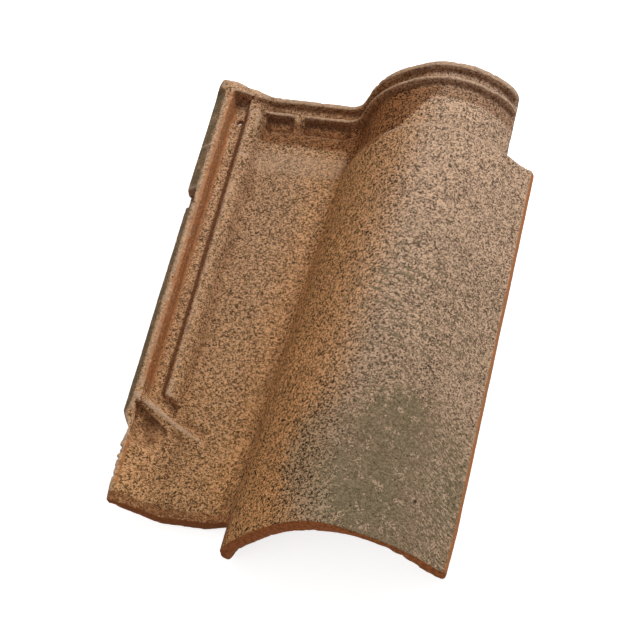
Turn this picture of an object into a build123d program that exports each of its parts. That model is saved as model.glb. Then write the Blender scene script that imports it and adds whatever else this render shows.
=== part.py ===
from build123d import *
import os

# Interlocking clay roll tile, millimetres.
# Working frame: X across from the side lock to the cover flap, Y from the foot of the roll to the
# head, Z up from the upper face of the pan. At the end the tile is laid down as it rests on a floor.

# Overall sizes
TILE_LENGTH = 370.0
TILE_WIDTH = 248.0
WALL = 12.5
ROLL_HEIGHT = 75.5
ROLL_WALL = 12.0
FLAP_LEVEL = 18.5
EDGE_TUCK = 2.0
FOOT_SETBACK = 23.0
NECK_LENGTH = 58.0
NECK_DROP = 10.5
SHOULDER_STEP = 1.5

# Bank that carries the side lock, levels above the pan
BANK_TOE = 44.0
BANK_SLOPE = 0.54
BANK_SHOULDER = 16.0
FOOT_EDGE_INSET = 11.5
FOOT_EDGE_LEVEL = 16.0
EDGE_CHAMFER = 1.3
EDGE_CHAMFER_HEIGHT = 2.0
NOSE_LENGTH = 10.0
LEG_INSET = 153.5
LEG_TIP_LEVEL = -3.5
LEG_TIP_RADIUS = 5.0
LIP_LENGTH = 14.0
LIP_WIDTH = 1.4
LIP_FOOT_WIDTH = 0.3
LIP_LEVEL = 12.2
LIP_HEIGHT = 4.2

# Outer rib, channel and inner ridge of the side lock
UPPER_RIB_INSET = 2.0
LOWER_RIB_INSET = 4.5
RIB_EDGE_LEVEL = 12.0
RIB_EDGE_HEIGHT = 8.0
RIB_LEVEL = 20.0
RIB_CREST_START = 11.5
RIB_CREST_WIDTH = 4.5
RIB_FOOT = 98.0
RIB_FALL_LENGTH = 12.0
RIB_CORNER = 90.5
RIB_CORNER_LENGTH = 13.0
CHANNEL_WIDTH = 9.0
CHANNEL_LEVEL = 6.0
LOCK_WALL = 9.5
RIDGE_LEVEL = 11.0
RIDGE_WIDTH = 7.0
RIDGE_FLANK = 5.0
RIDGE_TIP_INSET = 16.0
RIDGE_TIP_RADIUS = 5.0

# Clip notch in the outer rib
NOTCH_INSET = 111.0
NOTCH_LENGTH = 14.0
NOTCH_LEVEL = 7.0
NOTCH_REACH = 10.0

# Weir and gutter that lead the channel's water onto the pan
WEIR_START = (12.0, 103.0)
WEIR_END = (59.0, 79.5)
WEIR_CREST_WIDTH = 2.4
WEIR_FLANK = 5.0
WEIR_RISE = 2.8
GUTTER_WIDTH = 11.0
GUTTER_DEPTH = 1.2
HOLLOW_DEPTH = 5.0
HOLLOW_FALL = 0.22

# Head lock
HEAD_RIB_WIDTH = 4.5
HEAD_RIB_HEIGHT = 5.0
HEAD_CORNER_WIDTH = 8.5
SECOND_RIB_INSET = 16.0
SECOND_RIB_WIDTH = 3.0
SECOND_RIB_FROM = 39.0
RIB_GAP_START = 62.0
RIB_GAP_WIDTH = 7.0
FIELD_LENGTH = 12.0
FIELD_INSET = 143.0
FIELD_DEPTH = 2.5
FIELD_CORNER = 3.0
PANEL_LENGTH = 10.0
PANEL_RISE = 0.7

# Nail pocket in the head corner of the channel, places from the side edge and from the head
POCKET_PLACE = (21.3, 24.2)
POCKET_RADIUS = 5.0
POCKET_LEVEL = 2.5
NAIL_HOLE_DIAMETER = 5.5
NAIL_HOLE_PLACE = (21.9, 25.2)

# Nibs under the head
NIB_DEPTH = 12.0
NIB_LENGTH = 16.0
NIB_WIDTH = 24.0
NIB_SETBACK = 26.0
NIB_CENTRES = (52.0, 88.0)

# Derived places
ROLL_END = TILE_LENGTH - NECK_LENGTH
NOSE_END = FOOT_SETBACK + NOSE_LENGTH
LEG_START = TILE_WIDTH - LEG_INSET
FIELD_END = TILE_WIDTH - FIELD_INSET
RIDGE_TIP = TILE_LENGTH - RIDGE_TIP_INSET
NOTCH_START = TILE_LENGTH - NOTCH_INSET
SECOND_RIB_START = TILE_LENGTH - SECOND_RIB_INSET
POCKET_CENTRE = (POCKET_PLACE[0], TILE_LENGTH - POCKET_PLACE[1])
NAIL_PLACE = (NAIL_HOLE_PLACE[0], TILE_LENGTH - NAIL_HOLE_PLACE[1])
RIB_CREST_END = RIB_CREST_START + RIB_CREST_WIDTH
CHANNEL_START = RIB_CREST_END + 0.5
CHANNEL_END = CHANNEL_START + CHANNEL_WIDTH
RIDGE_START = CHANNEL_END + RIDGE_FLANK
RIDGE_END = RIDGE_START + RIDGE_WIDTH
NECK_CREST = ROLL_HEIGHT - NECK_DROP
INNER_CREST = ROLL_HEIGHT - ROLL_WALL
INNER_NECK = NECK_CREST - ROLL_WALL + 1.0
ABOVE = ROLL_HEIGHT + 30.0
BELOW = -WALL - NIB_DEPTH - 10.0
FLAP = TILE_WIDTH


# Roll height for which the points of the outlines below are given
DRAWN_HEIGHT = 75.5


def raised(z):
    """Level of a point of the roll that was drawn for the usual roll height."""
    share = (ROLL_HEIGHT - FLAP_LEVEL) / (DRAWN_HEIGHT - FLAP_LEVEL)
    return z if z <= FLAP_LEVEL else FLAP_LEVEL + (z - FLAP_LEVEL) * share


def flank(*points):
    """Points of the roll's sides, given as (distance in from the flap edge, z), as (x, z)."""
    return [(TILE_WIDTH - inset, raised(z)) for inset, z in points]


def crest(inset, z):
    """Point at the top of the roll, given as its distance in from the flap edge and its level."""
    return [(TILE_WIDTH - inset, z)]


# Roll outlines from the pan to the flap edge; the roll widens towards the foot
TOP_FOOT = flank((164, 0), (150, 16), (132, 40), (111, 61)) + crest(80, ROLL_HEIGHT)
TOP_FOOT += flank((47, 64.8), (22, 48), (5, 32))
TOP_HEAD = flank((149, 0), (134.5, 16), (120, 40), (104, 57)) + crest(67, ROLL_HEIGHT)
TOP_HEAD += flank((43, 67.7), (20, 49.2), (5, 32.5))
UNDER_FOOT = flank((168, -WALL), (152, -8), (143, 8), (131, 26), (113, 45)) + crest(76, INNER_CREST)
UNDER_FOOT += flank((38, 52), (10, 24.5))
UNDER_HEAD = flank((153, -WALL), (137, -8), (128, 8), (116.5, 26), (100, 44)) + crest(64, INNER_CREST)
UNDER_HEAD += flank((35, 52), (10, 24.5))
ROLL_FALL = (0.7, -0.72)
FLAP_END = flank((1.5, 31), (0, 26), (1.5, 20), (6, FLAP_LEVEL))

# Neck outlines: outer face, rim of the head ribs, inner face
NECK_TOP = flank((149, 0), (135, 5), (128, 16), (118, 35), (96, 55)) + crest(70, NECK_CREST)
NECK_TOP += flank((41, 57), (29, 46), (22, 35))
NECK_RIM = flank((150, 5), (139, 8), (132.5, 18.5), (122, 37.8), (98, 59.5))
NECK_RIM += crest(70, NECK_CREST + HEAD_RIB_HEIGHT) + flank((38, 61), (25, 49), (20, 35))
NECK_UNDER = flank((150, -WALL), (131, -7), (121, 7), (109, 28), (89, 46)) + crest(69, INNER_NECK)
NECK_UNDER += flank((47, 48), (29, 28))
NECK_FALL = (0.55, -0.84)
NECK_END = flank((21, 33), (21, 28.5))


def at(y, points):
    """Section points, given as (x, z), placed at one y."""
    return [Vector(x, y, z) for x, z in points]


def between(first, second, share):
    """Outline part of the way from one outline to another."""
    return [(x0 + (x1 - x0) * share, z0 + (z1 - z0) * share) for (x0, z0), (x1, z1) in zip(first, second)]


def outline(y, points):
    """Closed outline of straight lines at one y."""
    return Wire(Polyline(*at(y, points), close=True).edges())


def closed(*pieces):
    """One closed wire from lines and curves that meet end to end."""
    return Wire([edge for piece in pieces for edge in piece.edges()])


def curve(points, start, end):
    """Smooth curve through points, leaving and arriving in the given directions."""
    return Spline(*points, tangents=[start, end], tangent_scalars=[1.0, 1.0])


def bank_level(x):
    """Upper face of bank and pan at x."""
    return max(0.0, (BANK_TOE - x) * BANK_SLOPE)


def bank_underside(x):
    """Under face of the bank at x."""
    return (BANK_TOE + 2.0 - x) * BANK_SLOPE - WALL


def cross_section(y, top, end, under, fall):
    """Closed outline of bank, pan, roll and right-hand end; the roll ends falling in a given direction."""
    upper = at(y, top)
    lower = at(y, under)
    corners = [upper[-1]] + at(y, end) + [lower[-1]]
    edge = FOOT_EDGE_INSET
    heel = edge + EDGE_CHAMFER
    bank = [
        (BANK_TOE + 2.0, -WALL),
        (heel, bank_underside(heel)),
        (edge, bank_underside(edge) + EDGE_CHAMFER_HEIGHT),
        (edge, FOOT_EDGE_LEVEL),
        (BANK_SHOULDER, bank_level(BANK_SHOULDER)),
        (BANK_TOE, 0.0),
    ]
    return closed(
        Polyline(lower[0], *at(y, bank), upper[0]),
        curve(upper, Vector(1, 0, 0), Vector(fall[0], 0, fall[1])),
        Polyline(*corners),
        curve(lower[::-1], Vector(-fall[0], 0, -fall[1]), Vector(-1, 0, 0)),
    )


def bar_along_y(points, y0, y1):
    """Straight bar of one (x, z) section, from y0 to y1."""
    return extrude(make_face(Polyline(*at(y0, points), close=True)), y1 - y0, dir=(0, 1, 0))


def prism(points, z0, z1):
    """Upright block over a plan outline."""
    corners = [Vector(x, y, z0) for x, y in points]
    return extrude(make_face(Polyline(*corners, close=True)), z1 - z0, dir=(0, 0, 1))


def block(x0, x1, y0, y1, z0, z1):
    return prism([(x0, y0), (x1, y0), (x1, y1), (x0, y1)], z0, z1)


def post(centre, radius):
    """Upright round bar through the whole height."""
    return Cylinder(radius, ABOVE - BELOW).moved(Location((*centre, (ABOVE + BELOW) / 2)))


def shoulder(y0, y1):
    """Thick ring that joins the end of the roll to the neck below it."""
    upper = at(y0, between(TOP_HEAD[1:6], UNDER_HEAD[2:7], 0.5) + flank((36, 57), (7, 28.5)))
    inner = [(x, z + SHOULDER_STEP) for x, z in NECK_UNDER[:-1]]
    lower = at(y0, inner + flank((10, 25.5)))
    right = Line(upper[-1], lower[-1])
    left = Line(lower[0], upper[0])
    outline = closed(Spline(*upper), right, Spline(*lower[::-1]), left)
    return extrude(Face(outline), y1 - y0, dir=(0, 1, 0))


def foot_nose():
    """Foot end of bank and pan, its upper edge rounded down towards the front."""
    edge = FOOT_EDGE_INSET
    leg = LEG_START
    toe = TOP_FOOT[0][0]
    heel = edge + EDGE_CHAMFER
    front = [
        (heel, 5.0), (BANK_TOE + 1.5, -13.5), (toe - 8, -12), (toe + 1, -7.5), (leg, -2),
        (leg, 7), (toe - 1, 0), (toe - 10, -1.9), (60, -2.8), (BANK_TOE + 1.5, -4.3),
        (BANK_SHOULDER, 10.8), (edge, LIP_LEVEL), (edge, 7.5),
    ]
    back = [
        (heel, bank_underside(heel)), (BANK_TOE + 2.0, -WALL), (toe - 8, -WALL), (toe + 1, -10), (leg, -4),
        (leg, 6), (toe, 0), (toe - 10, 0), (60, 0), (BANK_TOE, 0),
        (BANK_SHOULDER, bank_level(BANK_SHOULDER)), (edge, FOOT_EDGE_LEVEL),
        (edge, bank_underside(edge) + EDGE_CHAMFER_HEIGHT),
    ]
    nose = Solid.make_loft([outline(FOOT_SETBACK, front), outline(NOSE_END, back)], ruled=True)
    lip_end = FOOT_SETBACK + LIP_LENGTH
    lip_root = edge + LIP_WIDTH
    lip_plan = [
        (edge - LIP_FOOT_WIDTH, FOOT_SETBACK), (lip_root, FOOT_SETBACK),
        (lip_root, lip_end), (edge - LIP_WIDTH, lip_end),
    ]
    return nose + prism(lip_plan, LIP_LEVEL - LIP_HEIGHT, LIP_LEVEL)


def roll_section(y):
    """Cross-section with the full roll at one y."""
    share = y / ROLL_END
    tuck = EDGE_TUCK * (1.0 - share) ** 10
    top = between(TOP_FOOT, TOP_HEAD, share)
    under = between(UNDER_FOOT, UNDER_HEAD, share)
    top[-1] = (top[-1][0] - tuck, top[-1][1])
    under[-1] = (under[-1][0] - tuck, under[-1][1])
    end = [(x - tuck, z) for x, z in FLAP_END]
    return cross_section(y, top, end, under, ROLL_FALL)


def shell():
    """Bank, pan, roll and neck as one wall."""
    leg_space = block(LEG_START, FLAP, -10, NOSE_END + 5, LEG_TIP_LEVEL, ABOVE)
    tip = leg_space.edges().filter_by(Axis.Y).group_by(Axis.Z)[0].sort_by(Axis.X)[0]
    foot_trim = block(-10, FLAP / 2, -10, NOSE_END, BELOW, ABOVE / 2) - fillet(tip, LEG_TIP_RADIUS)
    leg = Solid.make_loft([roll_section(0), roll_section(NOSE_END)], ruled=True) - foot_trim
    roll = Solid.make_loft([roll_section(NOSE_END), roll_section(ROLL_END)], ruled=True)
    head = cross_section(TILE_LENGTH, NECK_TOP, NECK_END, NECK_UNDER, NECK_FALL)
    neck = extrude(Face(head), NECK_LENGTH + ROLL_WALL / 2, dir=(0, -1, 0))
    return roll + leg + foot_nose() + shoulder(ROLL_END - ROLL_WALL, ROLL_END) + neck


def weir_point(along, towards_head, z):
    """Point at a distance along the weir's crest line and beside it, towards the head."""
    start = Vector(*WEIR_START, 0)
    run = (Vector(*WEIR_END, 0) - start).normalized()
    side = Vector(-run.Y, run.X, 0)
    point = start + run * along + side * towards_head
    return Vector(point.X, point.Y, z)


def foot_side(towards_head):
    """All that lies on the foot side of a line parallel to the weir."""
    near = weir_point(-TILE_WIDTH, towards_head, 0)
    far = weir_point(TILE_WIDTH, towards_head, 0)
    below = -TILE_LENGTH
    return prism([(near.X, near.Y), (far.X, far.Y), (far.X, below), (near.X, below)], BELOW, ABOVE)


def weir():
    """Low bar that follows the bank down to the pan, steep towards the channel."""
    length = (Vector(*WEIR_END) - Vector(*WEIR_START)).length
    toe = length * (BANK_TOE - WEIR_START[0]) / (WEIR_END[0] - WEIR_START[0])
    half = WEIR_CREST_WIDTH / 2
    stations = [
        (0.0, FOOT_EDGE_LEVEL + WEIR_RISE, CHANNEL_LEVEL + 3.0),
        (toe, WEIR_RISE, -GUTTER_DEPTH),
        (length, 0.4, -GUTTER_DEPTH),
    ]
    wires = []
    for along, crest, floor in stations:
        outline = [
            (-WEIR_FLANK, crest - WEIR_RISE - 0.3), (-half, crest), (half, crest),
            (half + WEIR_FLANK, floor), (half + WEIR_FLANK, floor - 5.0), (-WEIR_FLANK, floor - 5.0),
        ]
        points = [weir_point(along, side, z) for side, z in outline]
        wires.append(Wire(Polyline(*points, close=True).edges()))
    return Solid.make_loft(wires, ruled=True)


def gutter():
    """Slanting run from the channel's foot end across the bank to the pan."""
    bed = [
        (4, ABOVE), (4, CHANNEL_LEVEL), (18, CHANNEL_LEVEL - 1.5), (36, -GUTTER_DEPTH),
        (50, -GUTTER_DEPTH), (57, 0.5), (57, ABOVE),
    ]
    face = make_face(Polyline(*[weir_point(along, 1.0, z) for along, z in bed], close=True))
    towards_head = weir_point(0, 1, 0) - weir_point(0, 0, 0)
    return extrude(face, GUTTER_WIDTH, dir=towards_head)


def rib_outline(edge):
    """Outer rib and the bed under the channel."""
    bed = CHANNEL_LEVEL - LOCK_WALL
    return [
        (edge, RIB_EDGE_LEVEL - RIB_EDGE_HEIGHT),
        (edge, RIB_EDGE_LEVEL),
        (RIB_CREST_START, RIB_LEVEL),
        (RIB_CREST_END, RIB_LEVEL),
        (CHANNEL_START, CHANNEL_LEVEL),
        (RIDGE_START, CHANNEL_LEVEL - 2.0),
        (RIDGE_START, bed - 1.0),
        (RIB_CREST_START + 2.0, bed),
    ]


def outer_rib():
    """Rib along the lock's edge, stepped out above the notch and run out at its foot."""
    notch_end = NOTCH_START + NOTCH_LENGTH
    foot = RIB_CORNER - RIB_CORNER_LENGTH
    rib = bar_along_y(rib_outline(LOWER_RIB_INSET), foot, notch_end)
    corner_plan = [(0, foot), (FOOT_EDGE_INSET, foot), (LOWER_RIB_INSET, RIB_CORNER), (0, RIB_CORNER)]
    low = (RIB_FOOT - RIB_FALL_LENGTH, FOOT_EDGE_LEVEL - 1.0)
    fall = [(0, low[1]), low, (RIB_FOOT + 2, RIB_LEVEL + 0.1), (RIB_FOOT + 2, ABOVE), (0, ABOVE)]
    over = extrude(make_face(Polyline(*[(0, y, z) for y, z in fall], close=True)), CHANNEL_END, dir=(1, 0, 0))
    lower = rib - prism(corner_plan, BELOW, ABOVE) - over
    return lower + bar_along_y(rib_outline(UPPER_RIB_INSET), notch_end, TILE_LENGTH)


def ridge():
    """Inner ridge of the side lock, with a rounded tip towards the head."""
    outline = [
        (CHANNEL_END, CHANNEL_LEVEL),
        (RIDGE_START, RIDGE_LEVEL),
        (RIDGE_END, RIDGE_LEVEL),
        (RIDGE_END + 4.0, bank_level(RIDGE_END + 4.0)),
        (CHANNEL_END, CHANNEL_LEVEL - 3.0),
    ]
    middle = (RIDGE_START + RIDGE_END) / 2
    tip = RIDGE_TIP - RIDGE_TIP_RADIUS
    taper = [
        (CHANNEL_END - 1, WEIR_END[1]), (RIDGE_END + 5, WEIR_END[1]), (RIDGE_END + 5, tip - 12),
        (middle + RIDGE_TIP_RADIUS, tip), (middle - RIDGE_TIP_RADIUS, tip), (CHANNEL_END - 1, tip - 12),
    ]
    plan = prism(taper, BELOW, ABOVE) + post((middle, tip), RIDGE_TIP_RADIUS)
    return bar_along_y(outline, WEIR_END[1], RIDGE_TIP) & plan


def channel():
    """Space of the water channel, with the deeper nail pocket at its head."""
    head_end = TILE_LENGTH - HEAD_RIB_WIDTH
    outline = [
        (CHANNEL_START, CHANNEL_LEVEL),
        (CHANNEL_END, CHANNEL_LEVEL),
        (RIDGE_START, RIDGE_LEVEL),
        (RIDGE_START, ABOVE),
        (CHANNEL_START, ABOVE),
    ]
    run = bar_along_y(outline, WEIR_END[1], head_end) - foot_side(1.0)
    x, y = POCKET_CENTRE
    pocket = block(x - POCKET_RADIUS, x + POCKET_RADIUS, y, head_end, POCKET_LEVEL, ABOVE)
    pocket += post(POCKET_CENTRE, POCKET_RADIUS) & block(0, BANK_TOE, 0, TILE_LENGTH, POCKET_LEVEL, ABOVE)
    return run + pocket


def hollow():
    """Scoop in the bank below the weir, deepest under the weir's flank."""
    rim = Polyline((12.5, 98), (35.5, 84), (36, 73), (32, 68), (16, 66.5), close=True)
    middle = 26.0
    deepest = (middle, 86, bank_level(middle) - HOLLOW_DEPTH)
    floor = Plane(origin=deepest, x_dir=(1, 0, -BANK_SLOPE), z_dir=(BANK_SLOPE, HOLLOW_FALL, 1))
    over = extrude(floor * Rectangle(ABOVE, ABOVE), ABOVE)
    return extrude(make_face(rim), ABOVE, dir=(0, 0, 1)) & over


def head_rib(y0, width):
    """Rib across the head that follows the upper face of bank, pan and neck."""
    upper = at(y0, NECK_RIM)
    lower = [p - Vector(0, 0, 3.0) for p in at(y0, NECK_TOP)]
    bank_top = [
        (UPPER_RIB_INSET, RIB_EDGE_LEVEL),
        (6.5, RIB_LEVEL + 1.0),
        (RIB_CREST_END, RIB_LEVEL),
        (BANK_TOE - 2.0, HEAD_RIB_HEIGHT),
    ]
    bank_under = [
        (BANK_TOE, -3.0),
        (RIDGE_START, 2.0),
        (CHANNEL_START, 2.0),
        (UPPER_RIB_INSET, RIB_EDGE_LEVEL - RIB_EDGE_HEIGHT),
    ]
    outline = closed(
        Spline(*upper),
        Line(upper[-1], lower[-1]),
        Spline(*lower[::-1]),
        Polyline(lower[0], *at(y0, bank_under + bank_top), upper[0]),
    )
    return extrude(Face(outline), width, dir=(0, 1, 0))


def head_lock():
    """Rib along the head edge, wider at the lock, and a second, broken one below it."""
    corner = TILE_LENGTH - HEAD_CORNER_WIDTH
    edge = TILE_LENGTH - HEAD_RIB_WIDTH
    plan = [
        (-1, corner), (RIB_CREST_END, corner), (BANK_TOE - 2, edge),
        (FLAP, edge), (FLAP, TILE_LENGTH), (-1, TILE_LENGTH),
    ]
    edge_rib = head_rib(corner, HEAD_CORNER_WIDTH) & prism(plan, BELOW, ABOVE)
    gap_end = RIB_GAP_START + RIB_GAP_WIDTH
    second_end = SECOND_RIB_START + SECOND_RIB_WIDTH
    broken = block(SECOND_RIB_FROM, FLAP, SECOND_RIB_START, second_end, BELOW, ABOVE)
    broken -= block(RIB_GAP_START, gap_end, SECOND_RIB_START, second_end, BELOW, ABOVE)
    return edge_rib + (head_rib(SECOND_RIB_START, SECOND_RIB_WIDTH) & broken)


def field(x0, x1):
    """Shallow field below the second rib, with rounded corners."""
    space = block(x0, x1, SECOND_RIB_START - FIELD_LENGTH, SECOND_RIB_START, -FIELD_DEPTH, ABOVE / 2)
    return fillet(space.edges().filter_by(Axis.Z), FIELD_CORNER)


def panel():
    """Raised blank strip across the pan below the fields."""
    y1 = SECOND_RIB_START - FIELD_LENGTH + 2.0
    return block(BANK_TOE + 2, TOP_HEAD[0][0], y1 - PANEL_LENGTH - 2.0, y1, -2.0, PANEL_RISE)


def notch():
    return block(-1, NOTCH_REACH, NOTCH_START, NOTCH_START + NOTCH_LENGTH, NOTCH_LEVEL, ABOVE)


def nib(x):
    """Hanging nib; its foot-side face bears on the batten."""
    bearing = TILE_LENGTH - NIB_SETBACK
    tip = -WALL - NIB_DEPTH
    root = 2.0 - WALL
    side = [(bearing, root), (bearing, tip), (bearing + NIB_LENGTH * 0.6, tip), (bearing + NIB_LENGTH, root)]
    face = make_face(Polyline(*[(x, y, z) for y, z in side], close=True))
    return extrude(face, NIB_WIDTH / 2, dir=(1, 0, 0), both=True)


def resting_place(body):
    """Where the tile rests: on the flap's foot corner, the pan's heel and the right-hand nib."""
    flap = Vector(FLAP_END[-1][0] - EDGE_TUCK, 0, FLAP_LEVEL)
    heel = Vector(UNDER_FOOT[0][0] + 9.4, NOSE_END, 0.76 - WALL)
    nib_tip = Vector(NIB_CENTRES[-1] + NIB_WIDTH / 2, TILE_LENGTH - NIB_SETBACK, -WALL - NIB_DEPTH)
    up = (flap - heel).cross(nib_tip - heel).normalized()
    across = Vector(0, 1, 0).cross(up).normalized()
    to_floor = Plane(origin=heel, x_dir=across, z_dir=up).location.inverse()
    box = body.moved(to_floor).bounding_box()
    middle = box.center()
    return Location((-middle.X, -middle.Y, -box.min.Z)) * to_floor


def tile_body():
    body = shell() + outer_rib()
    body += ridge() - foot_side(GUTTER_WIDTH)
    body = body - channel() - gutter() + weir() - hollow() + head_lock() + panel()
    body = body - notch() - field(SECOND_RIB_FROM + 2, RIB_GAP_START)
    body = body - field(RIB_GAP_START + RIB_GAP_WIDTH, FIELD_END) - post(NAIL_PLACE, NAIL_HOLE_DIAMETER / 2)
    for x in NIB_CENTRES:
        body += nib(x)
    return body


body = tile_body()
place = resting_place(body)
os.makedirs("parts", exist_ok=True)
export_step(body.moved(place), "parts/tile_body.step")
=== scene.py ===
import math

import bpy
import numpy as np
from mathutils import Matrix, Vector


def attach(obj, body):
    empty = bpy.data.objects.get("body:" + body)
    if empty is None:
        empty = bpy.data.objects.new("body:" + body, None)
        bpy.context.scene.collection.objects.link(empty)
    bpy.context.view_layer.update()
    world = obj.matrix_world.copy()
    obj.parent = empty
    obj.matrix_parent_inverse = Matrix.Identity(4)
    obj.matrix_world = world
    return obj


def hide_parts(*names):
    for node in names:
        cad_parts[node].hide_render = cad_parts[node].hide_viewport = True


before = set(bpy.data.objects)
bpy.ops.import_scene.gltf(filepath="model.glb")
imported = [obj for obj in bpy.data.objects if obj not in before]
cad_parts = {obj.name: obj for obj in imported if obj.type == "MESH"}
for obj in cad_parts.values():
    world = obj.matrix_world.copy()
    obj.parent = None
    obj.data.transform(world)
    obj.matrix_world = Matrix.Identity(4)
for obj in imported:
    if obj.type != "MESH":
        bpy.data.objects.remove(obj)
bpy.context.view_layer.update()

# The tile's own frame, in which it was drawn, seen from the row frame:
# x from the side lock to the cover flap, y from foot to head, z up from the pan
TILE_ORIGIN = (-0.1256, -0.18453, 0.02668)
LEAN_ALONG = math.radians(2.673)
LEAN_ACROSS = math.radians(10.779)
TILE_TURN = Matrix.Rotation(LEAN_ALONG, 3, "X") @ Matrix.Rotation(LEAN_ACROSS, 3, "Y")
MM = 0.001

# Body of the tile as a mesh
VOXEL = 0.0011
SMOOTHING_STEPS = 5
TRIANGLES = 190000

# Unevenness of the faces: size in millimetres, height in metres, seed
WAVES = ((26.0, 0.00022, 3), (9.0, 0.5 * 0.00022, 5), (2.2, 0.00007, 7))
CHIP_SIZE = 5.0
CHIP_DEPTH = 0.0005
CHIP_SEED = 11

# Camera, fitted to the photograph
CAMERA_PLACE = Vector((0.540863, -0.790643, 1.154130))
CAMERA_AZIMUTH = math.radians(34.687)
CAMERA_ELEVATION = math.radians(49.720)
CAMERA_ROLL = math.radians(26.194)
CAMERA_LENS = 121.44
CAMERA_SENSOR = 36.0

# Lamps: direction from the tile, distance, size, power
KEY_LAMP = (Vector((0.75, 0.85, 1.25)), 1.9, 0.9, 26.0)
FILL_LAMP = (Vector((-0.2, -1.0, 1.2)), 2.4, 1.8, 7.0)
WORLD_LIGHT = 0.42
FLOOR_GLOW = 0.75
FLOOR_COLOUR = (0.80, 0.80, 0.80)
FLOOR_HALF = 4.0

# Colours, as linear red, green and blue
SAND_PAN_HEAD = (0.355, 0.197, 0.100)
SAND_PAN_FOOT = (0.340, 0.170, 0.066)
SAND_CREST_HEAD = (0.400, 0.262, 0.170)
SAND_CREST_FOOT = (0.290, 0.190, 0.115)
SAND_GOLD = (0.430, 0.200, 0.070)
# bright sand, also used as painted highlight on crests, the shoulder and the weir, and as the painted
# light band on the pan
SAND_BRIGHT_AND_HIGHLIGHT = (0.550, 0.375, 0.255)
SAND_CREAM = (0.800, 0.590, 0.430)
SMOKE = (0.200, 0.137, 0.080)
SMOKE_GREEN = (0.183, 0.137, 0.076)
# greenish dust darkened with painted shade, for the lock's left-facing outer slope
LOCK_GREEN_AND_SHADE = (0.150, 0.110, 0.060)
PIT = (0.030, 0.016, 0.008)
BARE_CLAY = (0.440, 0.160, 0.056)
CLAY_DUSTY = (0.390, 0.170, 0.068)
# dark clay, also used as painted shade in hollows, on the ridge's left flank and in the scoop
CLAY_DARK_AND_SHADE = (0.135, 0.048, 0.018)
FOOT_CLAY = (0.400, 0.125, 0.036)
FOOT_CLAY_DARK = (0.200, 0.062, 0.020)
UNDER_CLAY = (0.400, 0.190, 0.100)
# multiplier for the dusky clay and painted shade on the neck and the head of the pan
NECK_DUSK_AND_SHADE = (0.52, 0.38, 0.28)

# Sand grains: sizes in millimetres, and how much lighter and darker they are than the ground
SMALL_GRAIN = 0.75
LARGE_GRAIN = 1.25
FLECK = 2.3
SPECK = 1.9
PIT_SPACING = 3.8
SPOT_SPACING = 17.0
GRAIN_LIGHT = 0.72
GRAIN_DARK = -0.68
GRAIN_DARKEST = 0.30

# Matt clay with a low relief of sand
ROUGHNESS = 0.92
SPECULAR = 0.12
RELIEF_STRENGTH = 0.8
RELIEF_DEPTH = 0.0009

# Axis and size of the roll, for marks that run across it
ROLL_CENTRE = (196.0, 22.0)
ROLL_RADIUS = 52.0

# Where the dusky clay and painted shade of the neck begin, and how steeply its edge runs
NECK_SHADE = (142.0, 309.0)
NECK_SHADE_SLOPE = 0.93

# Ovals on the tile's plan, millimetres: centre, half sizes, turn in degrees
SMOKE_PATCH = ((208.0, 46.0), (43.0, 61.0), -4.0)
SMOKE_BESIDE = ((160.0, 42.0), (24.0, 44.0), 12.0)
STREAKED = ((206.0, 165.0), (46.0, 56.0), 0.0)
SCRATCHED = ((234.0, 52.0), (15.0, 96.0), 0.0)
# painted highlight on the weir's crest
WEIR_HIGHLIGHT = ((36.0, 91.0), (25.0, 1.5), -22.4)
SCOOP_SHADE = ((25.5, 82.0), (7.0, 11.5), 20.0)

# Spans across and along the tile, millimetres: a mark starts, is full, begins to fade, ends
VALLEY = (66.0, 104.0, 116.0, 150.0)
# side lock, painted lighter
LOCK_LIT = (8.0, 11.0, 33.0, 36.0)
BESIDE_RIDGE = (33.0, 35.0, 56.0, 60.0)
RIDGE_SHADE = (24.0, 25.5, 28.0, 29.5)
# painted highlight along the step where the roll meets the neck
SHOULDER_HIGHLIGHT = (310.0, 311.2, 312.4, 313.4)
# painted light across the head of the pan
LIT_BAND = (36.0, 44.0, 106.0, 112.0)
LIT_BAND_RUN = (303.0, 309.0, 320.0, 327.0)
BARE_STRIP = (13.0, 14.6, 17.2, 18.6)
BARE_STRIP_RUN = (104.0, 120.0, 358.0, 362.0)
BARE_LINE = (14.0, 15.0, 16.0, 16.8)
BARE_LINE_RUN = (34.0, 38.0, 66.0, 74.0)
LIGHT_RIM_RUN = (26.0, 32.0, 70.0, 80.0)

# Toothed left edge at the foot
TEETH_RUN = (36.0, 40.0, 79.0, 84.0)
TEETH_WIDTH = (12.6, 14.5)
TEETH_LEVEL = (6.0, 10.0)
TEETH_SIZE = 2.2
TEETH_STRETCH = (0.2, 1.0, 0.5)
TEETH_DEPTH = 0.0015
TEETH_SEED = 13

# Scooped hollow on the foot side of the weir: centre, half sizes, turn, depth
SCOOP_CENTRE = (21.5, 80.0)
SCOOP_HALF = (9.5, 17.0)
SCOOP_TURN = math.radians(-20.0)
SCOOP_DEPTH = 0.0045

# Right flank of the water ridge, where it runs softly into the pan
SOFT_FLANK = (34.0, 37.0, 46.0, 50.0)
SOFT_FLANK_RUN = (106.0, 112.0, 332.0, 338.0)
SOFT_FLANK_STEPS = 12


def tile_axes():
    """Rotation matrix of the tile's frame as a numpy array."""
    return np.array(TILE_TURN)


def to_tile(points):
    """Row-frame points, metres, as tile-frame points, millimetres."""
    return (points - np.array(TILE_ORIGIN)) @ tile_axes() / MM


def lattice_value(cells, seed):
    """Repeatable value from 0 to 1 for whole-number cells."""
    x, y, z = (cells[:, i].astype(np.uint64) for i in range(3))
    mixed = x * np.uint64(73856093) ^ y * np.uint64(19349663) ^ z * np.uint64(83492791)
    mixed = mixed ^ np.uint64(seed * 2654435761)
    mixed = (mixed ^ (mixed >> np.uint64(13))) * np.uint64(1274126177)
    mixed = mixed ^ (mixed >> np.uint64(16))
    return (mixed & np.uint64(0xFFFF)).astype(float) / 0xFFFF


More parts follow.
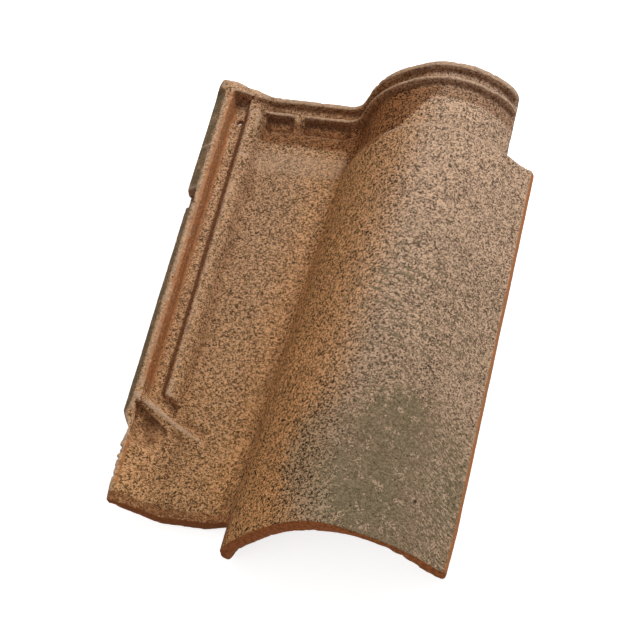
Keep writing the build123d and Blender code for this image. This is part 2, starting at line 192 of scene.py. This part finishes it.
def soft_noise(points, size, seed):
    """Smooth noise from -1 to 1 over points, with features of about one size."""
    grid = points / size + 1000.0
    cell = np.floor(grid)
    part = grid - cell
    part = part * part * (3.0 - 2.0 * part)
    total = np.zeros(len(points))
    for corner in np.ndindex(2, 2, 2):
        weight = np.prod(np.where(corner, part, 1.0 - part), axis=1)
        total += weight * lattice_value(cell + corner, seed)
    return total * 2.0 - 1.0


def step(low, high, value):
    """Smooth rise from 0 to 1 between two values."""
    share = np.clip((value - low) / (high - low), 0.0, 1.0)
    return share * share * (3.0 - 2.0 * share)


def within(span, value):
    """1 inside a span, 0 outside it, with soft ends."""
    return step(span[0], span[1], value) * (1.0 - step(span[2], span[3], value))


def mesh_arrays(mesh):
    """Vertex places, vertex normals and edges of a mesh."""
    count = len(mesh.vertices)
    places = np.zeros(count * 3)
    normals = np.zeros(count * 3)
    edges = np.zeros(len(mesh.edges) * 2, int)
    mesh.vertices.foreach_get("co", places)
    mesh.vertices.foreach_get("normal", normals)
    mesh.edges.foreach_get("vertices", edges)
    return places.reshape(-1, 3), normals.reshape(-1, 3), edges.reshape(-1, 2)


def neighbour_mean(values, edges):
    """Mean of each vertex's neighbours."""
    total = np.zeros_like(values)
    number = np.zeros(len(values))
    for a, b in ((0, 1), (1, 0)):
        np.add.at(total, edges[:, a], values[edges[:, b]])
        np.add.at(number, edges[:, a], 1.0)
    number = np.maximum(number, 1.0)
    return total / (number[:, None] if values.ndim == 2 else number)


def sharpness(places, normals, edges):
    """Positive on outer edges, negative in hollows, about -1 to 1."""
    smooth = places
    for _ in range(6):
        smooth = neighbour_mean(smooth, edges)
    stand_out = np.einsum("ij,ij->i", places - smooth, normals) / MM
    for _ in range(2):
        stand_out = neighbour_mean(stand_out, edges)
    return np.clip(stand_out / 0.45, -1.0, 1.0)


def with_modifiers(mesh, name, *settings):
    """Mesh of an object that carries the given modifiers, all applied."""
    carrier = bpy.data.objects.new(name, mesh)
    bpy.context.scene.collection.objects.link(carrier)
    for kind, values in settings:
        modifier = carrier.modifiers.new(kind.lower(), kind)
        for key, value in values.items():
            setattr(modifier, key, value)
    graph = bpy.context.evaluated_depsgraph_get()
    result = bpy.data.meshes.new_from_object(carrier.evaluated_get(graph))
    bpy.data.objects.remove(carrier)
    return result


def scoop(tile):
    """Share of the hollow's depth, 1 in its middle and 0 outside it."""
    dx = tile[:, 0] - SCOOP_CENTRE[0]
    dy = tile[:, 1] - SCOOP_CENTRE[1]
    along = dx * math.cos(SCOOP_TURN) - dy * math.sin(SCOOP_TURN)
    across = dx * math.sin(SCOOP_TURN) + dy * math.cos(SCOOP_TURN)
    reach = np.hypot(along / SCOOP_HALF[0], across / SCOOP_HALF[1])
    return 1.0 - step(0.35, 1.05, reach)


def softened_ridge(places, tile, facing_up, edges):
    """Evens out the ridge's right flank so that it runs into the pan without an edge."""
    share = within(SOFT_FLANK, tile[:, 0]) * within(SOFT_FLANK_RUN, tile[:, 1])
    share = (share * facing_up)[:, None]
    for _ in range(SOFT_FLANK_STEPS):
        places = places + share * (neighbour_mean(places, edges) - places)
    return places


def toothed_edge(places, tile):
    """Breaks up the left edge at the foot."""
    rough = within(TEETH_RUN, tile[:, 1])
    rough *= 1.0 - step(*TEETH_WIDTH, tile[:, 0])
    rough *= step(*TEETH_LEVEL, tile[:, 2])
    teeth = soft_noise(tile * np.array(TEETH_STRETCH), TEETH_SIZE, TEETH_SEED)
    outward = -tile_axes()[:, 0]
    return places + outward * (rough * teeth * TEETH_DEPTH)[:, None]


def keep_sharpness(mesh):
    """Stores the edges and hollows as a mesh attribute for the clay's colours."""
    sharp = sharpness(*mesh_arrays(mesh))
    layer = mesh.attributes.get("edge") or mesh.attributes.new("edge", "FLOAT", "POINT")
    layer.data.foreach_set("value", sharp)


def weather(mesh):
    """Waves, grit, small chips, the scoop, the soft ridge and the toothed edge, as vertex moves."""
    places, normals, edges = mesh_arrays(mesh)
    tile = to_tile(places)
    sharp = sharpness(places, normals, edges)
    lift = np.zeros(len(places))
    for size, height, seed in WAVES:
        lift += height * soft_noise(tile, size, seed)
    chips = step(0.35, 0.8, soft_noise(tile, CHIP_SIZE, CHIP_SEED)) * step(0.25, 0.8, sharp)
    lift -= CHIP_DEPTH * chips
    facing_up = step(0.2, 0.6, normals @ tile_axes()[:, 2])
    lift -= SCOOP_DEPTH * scoop(tile) * facing_up
    places = places + normals * lift[:, None]
    places = softened_ridge(places, tile, facing_up, edges)
    places = toothed_edge(places, tile)
    mesh.vertices.foreach_set("co", places.ravel())
    mesh.update()
    keep_sharpness(mesh)


def clay_body(source):
    """Moulded body: the CAD shape with its edges softened and its faces slightly uneven."""
    mesh = with_modifiers(
        source.data.copy(), "softening",
        ("REMESH", {"mode": "VOXEL", "voxel_size": VOXEL}),
        ("SMOOTH", {"factor": 0.5, "iterations": SMOOTHING_STEPS}),
    )
    weather(mesh)
    triangles = 2 * len(mesh.polygons)
    if triangles > TRIANGLES:
        mesh = with_modifiers(mesh, "thinning", ("DECIMATE", {"ratio": TRIANGLES / triangles}))
    keep_sharpness(mesh)
    mesh.materials.clear()
    mesh.name = "clay_tile"
    for polygon in mesh.polygons:
        polygon.use_smooth = True
    body = bpy.data.objects.new("clay_tile", mesh)
    bpy.context.scene.collection.objects.link(body)
    return body


class Nodes:
    """Short way to write the nodes of a material or a world."""

    def __init__(self, owner):
        owner.use_nodes = True
        self.tree = owner.node_tree
        self.tree.nodes.clear()

    def add(self, kind, inputs=None, **settings):
        node = self.tree.nodes.new(kind)
        for key, value in settings.items():
            setattr(node, key, value)
        for key, value in (inputs or {}).items():
            self.put(node.inputs[key], value)
        return node

    def put(self, socket, value):
        if isinstance(value, bpy.types.NodeSocket):
            self.tree.links.new(value, socket)
        elif hasattr(value, "__len__") and len(value) == 3 and socket.type == "RGBA":
            socket.default_value = (*value, 1.0)
        else:
            socket.default_value = value

    def maths(self, operation, a, b):
        return self.add("ShaderNodeMath", {0: a, 1: b}, operation=operation).outputs[0]

    def times(self, first, *others):
        """Product of two or more values."""
        for value in others:
            first = self.maths("MULTIPLY", first, value)
        return first

    def most(self, a, b):
        """The larger of two values."""
        return self.maths("MAXIMUM", a, b)

    def add_up(self, start, value, share):
        """Start plus a share of a value."""
        inputs = {0: value, 1: share, 2: start}
        return self.add("ShaderNodeMath", inputs, operation="MULTIPLY_ADD").outputs[0]

    def vector(self, operation, a, b=(0, 0, 0)):
        return self.add("ShaderNodeVectorMath", {0: a, 1: b}, operation=operation)

    def scaled(self, colour, factor):
        """Colour made lighter or darker by a factor."""
        return self.add("ShaderNodeVectorMath", {0: colour, 3: factor}, operation="SCALE").outputs[0]

    def rise(self, value, low, high):
        """Smooth step from 0 at low to 1 at high."""
        inputs = {0: value, 1: low, 2: high}
        return self.add("ShaderNodeMapRange", inputs, interpolation_type="SMOOTHSTEP").outputs[0]

    def within(self, value, span):
        """1 inside a span, 0 outside it, with soft ends."""
        return self.times(self.rise(value, span[0], span[1]), self.rise(value, span[3], span[2]))

    def mix(self, share, a, b):
        node = self.add("ShaderNodeMix", data_type="RGBA")
        for index, value in ((0, share), (6, a), (7, b)):
            self.put(node.inputs[index], value)
        return node.outputs[2]

    def noise(self, coords, size, detail, rough):
        """Noise from 0 to 1 with features of about one size, in the coordinates' unit."""
        inputs = {"Vector": coords, "Scale": 1.0 / size, "Detail": detail, "Roughness": rough}
        return self.add("ShaderNodeTexNoise", inputs).outputs[0]

    def grains(self, coords, size):
        """Random value from 0 to 1 for each grain, and the distance from the grain's middle."""
        node = self.add("ShaderNodeTexVoronoi", {"Vector": coords, "Scale": 1.0 / size})
        split = self.add("ShaderNodeSeparateColor", {0: node.outputs["Color"]})
        return split.outputs[0], node.outputs["Distance"]

    def mapped(self, coords, rotation, stretch):
        """Coordinates turned, then stretched."""
        turned = self.add("ShaderNodeMapping", {"Vector": coords, "Rotation": rotation}).outputs[0]
        return self.vector("MULTIPLY", turned, stretch).outputs[0]


class Clay(Nodes):
    """Sanded rustic engobe over terracotta. Each layer takes the colour below it and returns its own."""

    def __init__(self, material):
        super().__init__(material)
        self.place = self.tile_place()
        self.x, self.y, self.z = self.add("ShaderNodeSeparateXYZ", {0: self.place}).outputs
        self.up = self.facing((0, 0, 1))
        self.left = self.facing((-1, 0, 0))
        self.edge = self.add("ShaderNodeAttribute", attribute_name="edge").outputs["Fac"]
        self.cloud = self.noise(self.place, 38.0, 3.0, 0.55)
        self.blotch = self.noise(self.place, 9.0, 3.0, 0.6)
        self.fine = self.noise(self.place, 2.6, 2.0, 0.6)
        self.small, self.small_reach = self.grains(self.place, SMALL_GRAIN)
        self.large, self.large_reach = self.grains(self.place, LARGE_GRAIN)

    def tile_place(self):
        """Tile-frame coordinates of the shaded point, millimetres."""
        coords = self.add("ShaderNodeTexCoord").outputs["Object"]
        moved = self.vector("SUBTRACT", coords, TILE_ORIGIN).outputs[0]
        return self.mapped(moved, (-LEAN_ALONG, -LEAN_ACROSS, 0.0), (1 / MM, 1 / MM, 1 / MM))

    def facing(self, axis):
        """How much the surface faces along one axis of the tile, -1 to 1."""
        normal = self.add("ShaderNodeTexCoord").outputs["Normal"]
        direction = tuple(TILE_TURN @ Vector(axis))
        return self.vector("DOT_PRODUCT", normal, direction).outputs["Value"]

    def patch(self, oval, ragged, soft):
        """1 inside an oval on the tile's plan, 0 outside, with a ragged rim."""
        centre, half, turn = oval
        moved = self.vector("SUBTRACT", self.place, (*centre, 0.0)).outputs[0]
        rotation = (0.0, 0.0, -math.radians(turn))
        flat = self.mapped(moved, rotation, (1.0 / half[0], 1.0 / half[1], 0.0))
        reach = self.vector("LENGTH", flat).outputs["Value"]
        rim = self.maths("ADD", reach, self.times(self.maths("SUBTRACT", ragged, 0.5), 1.6))
        return self.maths("SUBTRACT", 1.0, self.rise(rim, 1.0 - soft, 1.0 + soft))

    def ground(self):
        """Tan in the pan, pink on the crest, gold in the valley and on the roll's left flank."""
        footward = self.rise(self.y, 300.0, 20.0)
        pan = self.mix(footward, SAND_PAN_HEAD, SAND_PAN_FOOT)
        crest = self.mix(footward, SAND_CREST_HEAD, SAND_CREST_FOOT)
        colour = self.mix(self.rise(self.x, 118.0, 168.0), pan, crest)
        self.flank = self.times(self.rise(self.left, -0.1, 0.95), self.rise(self.x, 84.0, 100.0))
        valley = self.times(self.within(self.x, VALLEY), self.add_up(0.45, footward, 0.4))
        self.golden = self.most(self.flank, valley)
        colour = self.mix(self.times(self.golden, 0.9), colour, SAND_GOLD)
        return self.scaled(colour, self.add_up(0.70, self.cloud, 0.42))

    def rolled_out(self):
        """Coordinates along the roll's round face and along the tile, millimetres."""
        beside = self.add_up(-ROLL_CENTRE[0], self.x, 1.0)
        above = self.add_up(-ROLL_CENTRE[1], self.z, 1.0)
        arc = self.times(self.maths("ARCTAN2", beside, above), ROLL_RADIUS)
        return self.add("ShaderNodeCombineXYZ", {0: arc, 1: self.y}).outputs[0]

    def smoked(self, colour):
        """Smoke marks of the kiln on the roll, their rims broken up by the sand."""
        flat = self.rolled_out()
        across = self.mapped(flat, (0.0, 0.0, math.radians(14.0)), (0.24, 1.0, 1.0))
        down = self.mapped(flat, (0.0, 0.0, math.radians(26.0)), (0.36, 1.0, 1.0))
        self.rubbed = self.noise(down, 1.5, 3.0, 0.7)
        speck = self.grains(self.place, SPECK)[0]
        ragged = self.add_up(self.times(self.blotch, 0.45), speck, 0.20)
        ragged = self.add_up(ragged, self.rubbed, 0.35)
        self.smoke = self.patch(SMOKE_PATCH, ragged, 0.14)
        marks = self.most(self.smoke, self.times(self.patch(SMOKE_BESIDE, ragged, 0.30), 0.6))
        streaks = self.rise(self.noise(across, 3.6, 3.0, 0.65), 0.565, 0.585)
        self.streaks = self.times(streaks, self.patch(STREAKED, self.blotch, 0.5), 0.9)
        smoky = self.mix(self.rise(self.cloud, 0.35, 0.65), SMOKE, SMOKE_GREEN)
        return self.mix(self.most(marks, self.streaks), colour, smoky)

    def sanded(self, colour):
        """Sand grains, light and dark, smeared over in the smoke."""
        fleck, fleck_reach = self.grains(self.place, FLECK)
        light = self.most(self.rise(self.small, 0.64, 0.80), self.rise(self.large, 0.74, 0.84))
        dark = self.most(self.rise(self.small, 0.28, 0.16), self.rise(self.large, 0.18, 0.10))
        flecks = self.times(self.rise(fleck, 0.86, 0.88), self.rise(fleck_reach, 0.42, 0.28))
        self.dark = self.most(dark, flecks)
        clear = self.add_up(1.0, self.most(self.smoke, self.streaks), -0.62)
        keep = self.times(clear, self.add_up(1.0, self.flank, 0.5))
        grain = self.add_up(self.add_up(1.0, light, GRAIN_LIGHT), self.dark, GRAIN_DARK)
        grain = self.most(grain, GRAIN_DARKEST)
        grain = self.add_up(1.0, self.times(self.add_up(-1.0, grain, 1.0), keep), 1.0)
        cream = self.times(light, keep, self.add_up(0.14, self.golden, -0.10))
        return self.mix(cream, self.scaled(colour, grain), SAND_CREAM)

    def scratched(self, colour):
        """Pink sand laid bare where the smoke was rubbed off, down the roll's side."""
        scratches = self.times(self.rise(self.rubbed, 0.52, 0.60), self.patch(SCRATCHED, self.blotch, 0.7))
        gaps = self.rise(self.noise(self.place, 7.0, 2.0, 0.5), 0.55, 0.66)
        light = self.most(self.rise(self.small, 0.68, 0.8), self.rise(self.large, 0.72, 0.82))
        thin = self.times(self.rise(self.smoke, 0.05, 0.4), gaps, light)
        scratches = self.most(scratches, self.times(thin, 0.9))
        return self.mix(self.times(scratches, 0.8), colour, SAND_BRIGHT_AND_HIGHLIGHT)

    def pitted(self, colour):
        """Pits and iron spots."""
        pit, pit_reach = self.grains(self.place, PIT_SPACING)
        pits = self.times(self.rise(pit, 0.48, 0.52), self.rise(pit_reach, 0.19, 0.12))
        spot, spot_reach = self.grains(self.place, SPOT_SPACING)
        spots = self.times(self.rise(spot, 0.70, 0.74), self.rise(spot_reach, 0.085, 0.055))
        self.pits = self.most(self.times(pits, 0.8), spots)
        return self.mix(self.times(self.pits, 0.85), colour, PIT)

    def worn_lit_and_shaded(self, colour):
        """Greenish dust with painted shade on the lock's left-facing outer slope, painted highlights on
        worn crests and along the neck's shoulder, painted shade in corners, and the side lock painted
        lighter.
        """
        # greenish dust and painted shade on the lock's left-facing outer slope
        slope = self.times(self.rise(self.x, 11.0, 9.0), self.rise(self.left, 0.1, 0.5))
        slope = self.times(slope, self.add_up(0.35, self.rise(self.blotch, 0.35, 0.6), 0.5))
        colour = self.mix(slope, colour, LOCK_GREEN_AND_SHADE)
        # painted highlight along raised, upward-facing edges, broken up like worn sand
        worn_lit_crests = self.times(self.rise(self.edge, 0.35, 0.9), self.rise(self.up, 0.1, 0.6))
        beside_ridge = self.times(self.within(self.x, BESIDE_RIDGE), self.rise(self.y, 335.0, 325.0))
        worn_lit_crests = self.times(worn_lit_crests, self.rise(self.y, 60.0, 85.0), self.add_up(1.0, beside_ridge, -0.9))
        colour = self.mix(self.times(worn_lit_crests, self.add_up(0.30, self.fine, 0.5)), colour, SAND_BRIGHT_AND_HIGHLIGHT)
        # painted highlight along the step where the roll meets the neck
        shoulder_highlight = self.times(self.within(self.y, SHOULDER_HIGHLIGHT), self.rise(self.z, 4.0, 14.0))
        shoulder_highlight = self.times(shoulder_highlight, self.rise(self.up, 0.1, 0.4))
        colour = self.mix(self.times(shoulder_highlight, 0.5), colour, SAND_BRIGHT_AND_HIGHLIGHT)
        # painted shade in hollows and corners, weaker on the side lock
        corner = self.rise(self.edge, -0.15, -0.8)
        corner = self.times(corner, self.add_up(1.0, self.rise(self.x, 36.0, 33.0), -0.6))
        colour = self.mix(self.times(corner, 0.6), colour, CLAY_DARK_AND_SHADE)
        # painted light: the side lock is made 18 per cent lighter
        return self.scaled(colour, self.add_up(1.0, self.within(self.x, LOCK_LIT), 0.18))

    def thin_sand_and_shade(self, colour):
        """Thinly sanded dusky clay with painted shade round the head corner and down the neck's left
        flank, and a painted shadow under the head's second rib.
        """
        beside = self.add_up(-NECK_SHADE[0], self.x, 1.0)
        beyond = self.add_up(-NECK_SHADE[1] * NECK_SHADE_SLOPE, self.y, NECK_SHADE_SLOPE)
        neck = self.rise(self.maths("SUBTRACT", beside, beyond), 2.5, -2.5)
        neck = self.times(neck, self.rise(self.y, 306.0, 309.0), self.rise(self.x, 103.0, 108.0))
        # painted shade on the head of the pan, beside the neck
        head = self.times(self.rise(self.y, 329.0, 333.0), self.rise(self.x, 38.0, 42.0))
        head = self.times(head, self.rise(self.x, 112.0, 106.0))
        # painted shadow along the foot side of the head's second rib
        rib_shadow_line = self.times(self.rise(self.y, 340.0, 343.0), self.rise(self.x, 120.0, 140.0), 0.7)
        share = self.most(self.most(neck, head), rib_shadow_line)
        share = self.times(share, self.rise(self.y, 357.0, 348.0), 0.92)
        return self.mix(share, colour, self.vector("MULTIPLY", colour, NECK_DUSK_AND_SHADE).outputs[0])

    def banded(self, colour):
        """Painted shade on the ridge's left flank and a painted light band across the head of the pan."""
        # painted shade on the ridge's left-facing flank
        flank = self.times(self.within(self.x, RIDGE_SHADE), self.rise(self.left, 0.10, 0.45))
        flank = self.times(flank, self.rise(self.y, 96.0, 104.0))
        colour = self.mix(self.times(flank, 0.8), colour, CLAY_DARK_AND_SHADE)
        # painted light: a lighter band across the head of the pan
        band = self.times(self.within(self.x, LIT_BAND), self.within(self.y, LIT_BAND_RUN))
        return self.mix(self.times(band, 0.22), colour, SAND_BRIGHT_AND_HIGHLIGHT)

    def weir(self, colour):
        """Painted highlight on the weir's crest and painted shade in the scoop beside it."""
        # painted highlight along the weir's crest
        crest = self.times(self.patch(WEIR_HIGHLIGHT, 0.5, 0.3), self.rise(self.up, 0.3, 0.7))
        colour = self.mix(self.times(crest, self.add_up(0.35, self.fine, 0.5)), colour, SAND_BRIGHT_AND_HIGHLIGHT)
        deep = self.times(self.patch(SCOOP_SHADE, 0.5, 0.35), self.add_up(1.0, crest, -1.0))
        return self.mix(self.times(deep, 0.5), colour, CLAY_DARK_AND_SHADE)

    def bare(self, colour):
        """Bare clay on the flap's and the neck's edge and on the rib's inner face."""
        rim = self.times(self.rise(self.x, 14.6, 13.6), self.within(self.y, LIGHT_RIM_RUN))
        colour = self.mix(self.times(rim, self.add_up(0.1, self.fine, 0.6)), colour, SAND_BRIGHT_AND_HIGHLIGHT)
        right = self.rise(self.facing((1, 0, 0)), 0.72, 0.92)
        flap = self.times(right, self.rise(self.x, 241.5, 243.5))
        neck = self.times(right, self.rise(self.y, 311.0, 313.0), self.rise(self.x, 226.0, 230.0))
        strip = self.times(self.within(self.x, BARE_STRIP), self.within(self.y, BARE_STRIP_RUN))
        strip = self.times(strip, self.rise(self.fine, 0.30, 0.5))
        line = self.times(self.within(self.x, BARE_LINE), self.within(self.y, BARE_LINE_RUN))
        share = self.most(self.most(flap, neck), self.times(self.most(strip, line), 0.75))
        clay = self.mix(self.rise(self.blotch, 0.35, 0.7), BARE_CLAY, CLAY_DUSTY)
        return self.mix(share, colour, clay)

    def foot(self, colour):
        """Dark band along the pan's foot and the bare clay of the foot's end faces."""
        foot_band = self.times(self.rise(self.y, 30.5, 28.0), self.rise(self.z, 20.0, 12.0))
        foot_band = self.times(foot_band, self.add_up(0.25, self.rise(self.fine, 0.35, 0.6), 0.45))
        colour = self.mix(foot_band, colour, FOOT_CLAY_DARK)
        faces = self.rise(self.facing((0, -1, 0)), 0.52, 0.78)
        faces = self.times(faces, self.add_up(0.25, self.rise(self.y, 36.0, 30.0), 0.75))
        clay = self.mix(self.rise(self.fine, 0.35, 0.7), FOOT_CLAY, FOOT_CLAY_DARK)
        clay = self.mix(self.times(self.rise(self.x, 100.0, 90.0), 0.7), clay, FOOT_CLAY_DARK)
        return self.mix(faces, colour, clay)

    def underside(self, colour):
        clay = self.mix(self.rise(self.cloud, 0.3, 0.7), UNDER_CLAY, BARE_CLAY)
        clay = self.mix(self.times(self.dark, 0.25), clay, CLAY_DARK_AND_SHADE)
        return self.mix(self.rise(self.up, 0.05, -0.25), colour, clay)

    def relief(self):
        """Normals of the sand's relief."""
        height = self.add_up(self.times(self.fine, 0.9), self.small_reach, -0.45)
        height = self.add_up(height, self.pits, -0.9)
        height = self.add_up(height, self.large_reach, -0.5)
        inputs = {"Height": height, "Strength": RELIEF_STRENGTH, "Distance": RELIEF_DEPTH}
        return self.add("ShaderNodeBump", inputs).outputs[0]

    def finish(self, colour):
        surface = self.add("ShaderNodeBsdfPrincipled", {
            "Base Color": colour, "Normal": self.relief(),
            "Roughness": ROUGHNESS, "Specular IOR Level": SPECULAR,
        })
        self.add("ShaderNodeOutputMaterial", {"Surface": surface.outputs[0]})


def clay_material():
    material = bpy.data.materials.new("clay")
    clay = Clay(material)
    colour = clay.ground()
    layers = (
        clay.smoked, clay.sanded, clay.scratched, clay.pitted, clay.worn_lit_and_shaded, clay.thin_sand_and_shade,
        clay.banded, clay.weir, clay.bare, clay.foot, clay.underside,
    )
    for layer in layers:
        colour = layer(colour)
    clay.finish(colour)
    return material


def floor_material():
    """Pale floor that the camera sees as white, with the tile's shadow kept."""
    material = bpy.data.materials.new("floor")
    n = Nodes(material)
    diffuse = n.add("ShaderNodeBsdfDiffuse", {"Color": FLOOR_COLOUR})
    seen = n.add("ShaderNodeLightPath").outputs["Is Camera Ray"]
    glow = n.add("ShaderNodeEmission", {"Strength": n.times(seen, FLOOR_GLOW)})
    both = n.add("ShaderNodeAddShader", {0: diffuse.outputs[0], 1: glow.outputs[0]})
    n.add("ShaderNodeOutputMaterial", {"Surface": both.outputs[0]})
    return material


def add_floor():
    mesh = bpy.data.meshes.new("floor")
    half = FLOOR_HALF
    corners = [(-half, -half, 0), (half, -half, 0), (half, half, 0), (-half, half, 0)]
    mesh.from_pydata(corners, [], [(0, 1, 2, 3)])
    mesh.materials.append(floor_material())
    floor = bpy.data.objects.new("floor", mesh)
    bpy.context.scene.collection.objects.link(floor)


def add_lamp(name, direction, distance, size, power):
    data = bpy.data.lights.new(name, "AREA")
    data.size = size
    data.energy = power
    lamp = bpy.data.objects.new(name, data)
    lamp.location = direction.normalized() * distance
    lamp.rotation_mode = "QUATERNION"
    lamp.rotation_quaternion = direction.to_track_quat("Z", "Y")
    bpy.context.scene.collection.objects.link(lamp)


def add_world():
    """Soft even light on the tile, and white behind it for the camera."""
    world = bpy.data.worlds.new("studio")
    n = Nodes(world)
    seen = n.add("ShaderNodeLightPath").outputs["Is Camera Ray"]
    strength = n.add("ShaderNodeMapRange", {0: seen, 3: WORLD_LIGHT, 4: 1.0}).outputs[0]
    background = n.add("ShaderNodeBackground", {"Strength": strength})
    n.add("ShaderNodeOutputWorld", {"Surface": background.outputs[0]})
    bpy.context.scene.world = world


def add_camera():
    a, e, r = CAMERA_AZIMUTH, CAMERA_ELEVATION, CAMERA_ROLL
    back = Vector((math.sin(a) * math.cos(e), -math.cos(a) * math.cos(e), math.sin(e)))
    right = Vector((math.cos(a), math.sin(a), 0.0))
    up = back.cross(right)
    turned_right = right * math.cos(r) - up * math.sin(r)
    turned_up = right * math.sin(r) + up * math.cos(r)
    data = bpy.data.cameras.new("camera")
    data.sensor_width = CAMERA_SENSOR
    data.lens = CAMERA_LENS
    camera = bpy.data.objects.new("camera", data)
    turn = Matrix((turned_right, turned_up, back)).transposed().to_4x4()
    camera.matrix_world = Matrix.Translation(CAMERA_PLACE) @ turn
    bpy.context.scene.collection.objects.link(camera)
    bpy.context.scene.camera = camera


bpy.context.scene.view_settings.view_transform = "Standard"
add_camera()
add_world()
add_lamp("key", *KEY_LAMP)
add_lamp("fill", *FILL_LAMP)
add_floor()

tile = clay_body(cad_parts["tile_body"])
tile.data.materials.append(clay_material())
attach(tile, "root")
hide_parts("tile_body")
